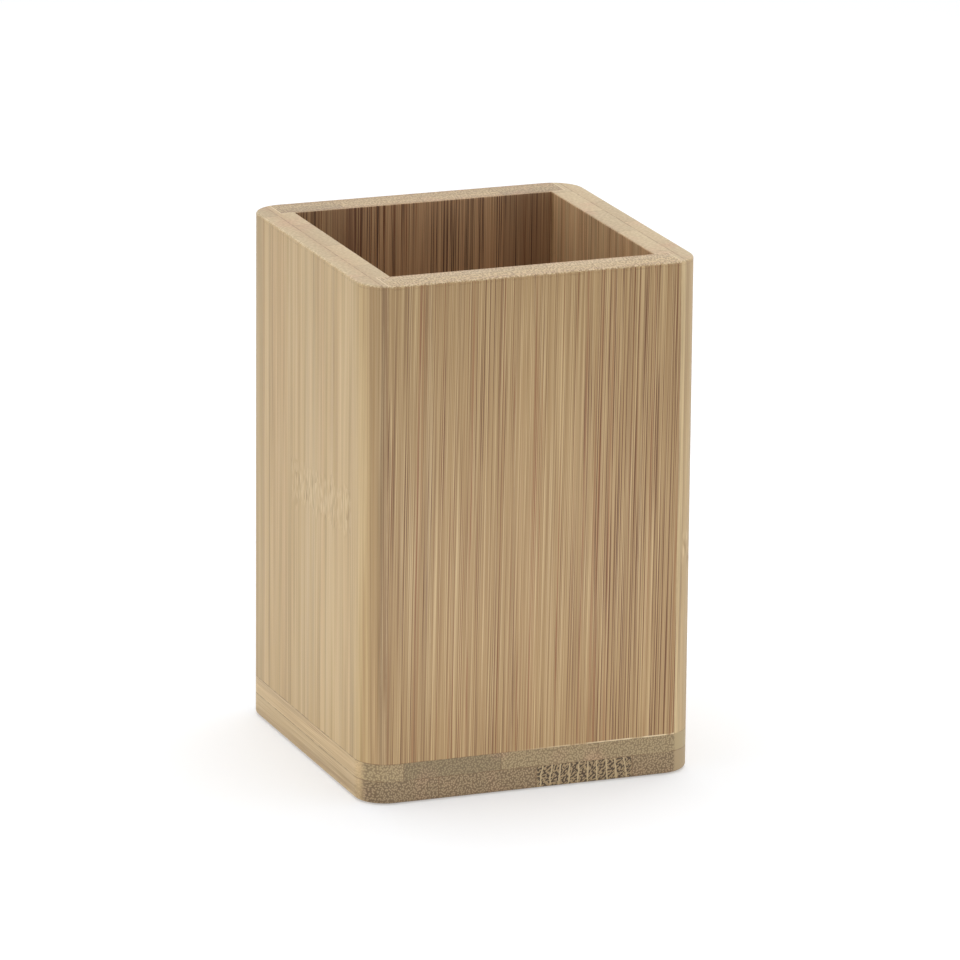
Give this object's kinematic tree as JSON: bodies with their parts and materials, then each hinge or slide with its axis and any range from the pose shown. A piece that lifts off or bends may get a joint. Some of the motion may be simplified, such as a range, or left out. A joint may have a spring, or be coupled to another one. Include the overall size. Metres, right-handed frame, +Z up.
{
  "type": "toothbrush holder",
  "caption": "Open square bamboo tumbler for toothbrushes: rabbeted wall boards of glued strips on a two-ply base, with rounded corners and eased edges.",
  "frame": {"origin": "middle of the underside, on the surface that the holder stands on", "axes": "+Z up out of the mouth, -Y the front board's outer face, +X towards the right side board"},
  "size_m": [0.073, 0.073, 0.1095],
  "materials": {
    "side_wall_bamboo": "pale natural bamboo, sanded, satin clear lacquer",
    "front_back_bamboo": "natural bamboo with close dark fibre lines, sanded, satin clear lacquer",
    "base_bamboo": "natural bamboo with speckled end grain front and back, sanded, satin clear lacquer"
  },
  "bodies": {
    "root": {"back_wall_inner_strip_1": "front_back_bamboo", "back_wall_inner_strip_2": "front_back_bamboo", "back_wall_inner_strip_3": "front_back_bamboo", "back_wall_inner_strip_4": "front_back_bamboo", "back_wall_outer_strip_1": "front_back_bamboo", "back_wall_outer_strip_2": "front_back_bamboo", "back_wall_outer_strip_3": "front_back_bamboo", "back_wall_outer_strip_4": "front_back_bamboo", "base_lower_strip_1": "base_bamboo", "base_lower_strip_2": "base_bamboo", "base_lower_strip_3": "base_bamboo", "base_lower_strip_4": "base_bamboo", "base_upper_strip_1": "base_bamboo", "base_upper_strip_2": "base_bamboo", "base_upper_strip_3": "base_bamboo", "base_upper_strip_4": "base_bamboo", "front_wall_inner_strip_1": "front_back_bamboo", "front_wall_inner_strip_2": "front_back_bamboo", "front_wall_inner_strip_3": "front_back_bamboo", "front_wall_inner_strip_4": "front_back_bamboo", "front_wall_outer_strip_1": "front_back_bamboo", "front_wall_outer_strip_2": "front_back_bamboo", "front_wall_outer_strip_3": "front_back_bamboo", "front_wall_outer_strip_4": "front_back_bamboo", "left_wall_inner_strip_1": "side_wall_bamboo", "left_wall_inner_strip_2": "side_wall_bamboo", "left_wall_inner_strip_3": "side_wall_bamboo", "left_wall_inner_strip_4": "side_wall_bamboo", "left_wall_outer_strip_1": "side_wall_bamboo", "left_wall_outer_strip_2": "side_wall_bamboo", "left_wall_outer_strip_3": "side_wall_bamboo", "left_wall_outer_strip_4": "side_wall_bamboo", "left_wall_outer_strip_5": "side_wall_bamboo", "right_wall_inner_strip_1": "side_wall_bamboo", "right_wall_inner_strip_2": "side_wall_bamboo", "right_wall_inner_strip_3": "side_wall_bamboo", "right_wall_inner_strip_4": "side_wall_bamboo", "right_wall_inner_strip_5": "side_wall_bamboo", "right_wall_outer_strip_1": "side_wall_bamboo", "right_wall_outer_strip_2": "side_wall_bamboo", "right_wall_outer_strip_3": "side_wall_bamboo", "right_wall_outer_strip_4": "side_wall_bamboo"}
  },
  "joints": []
}
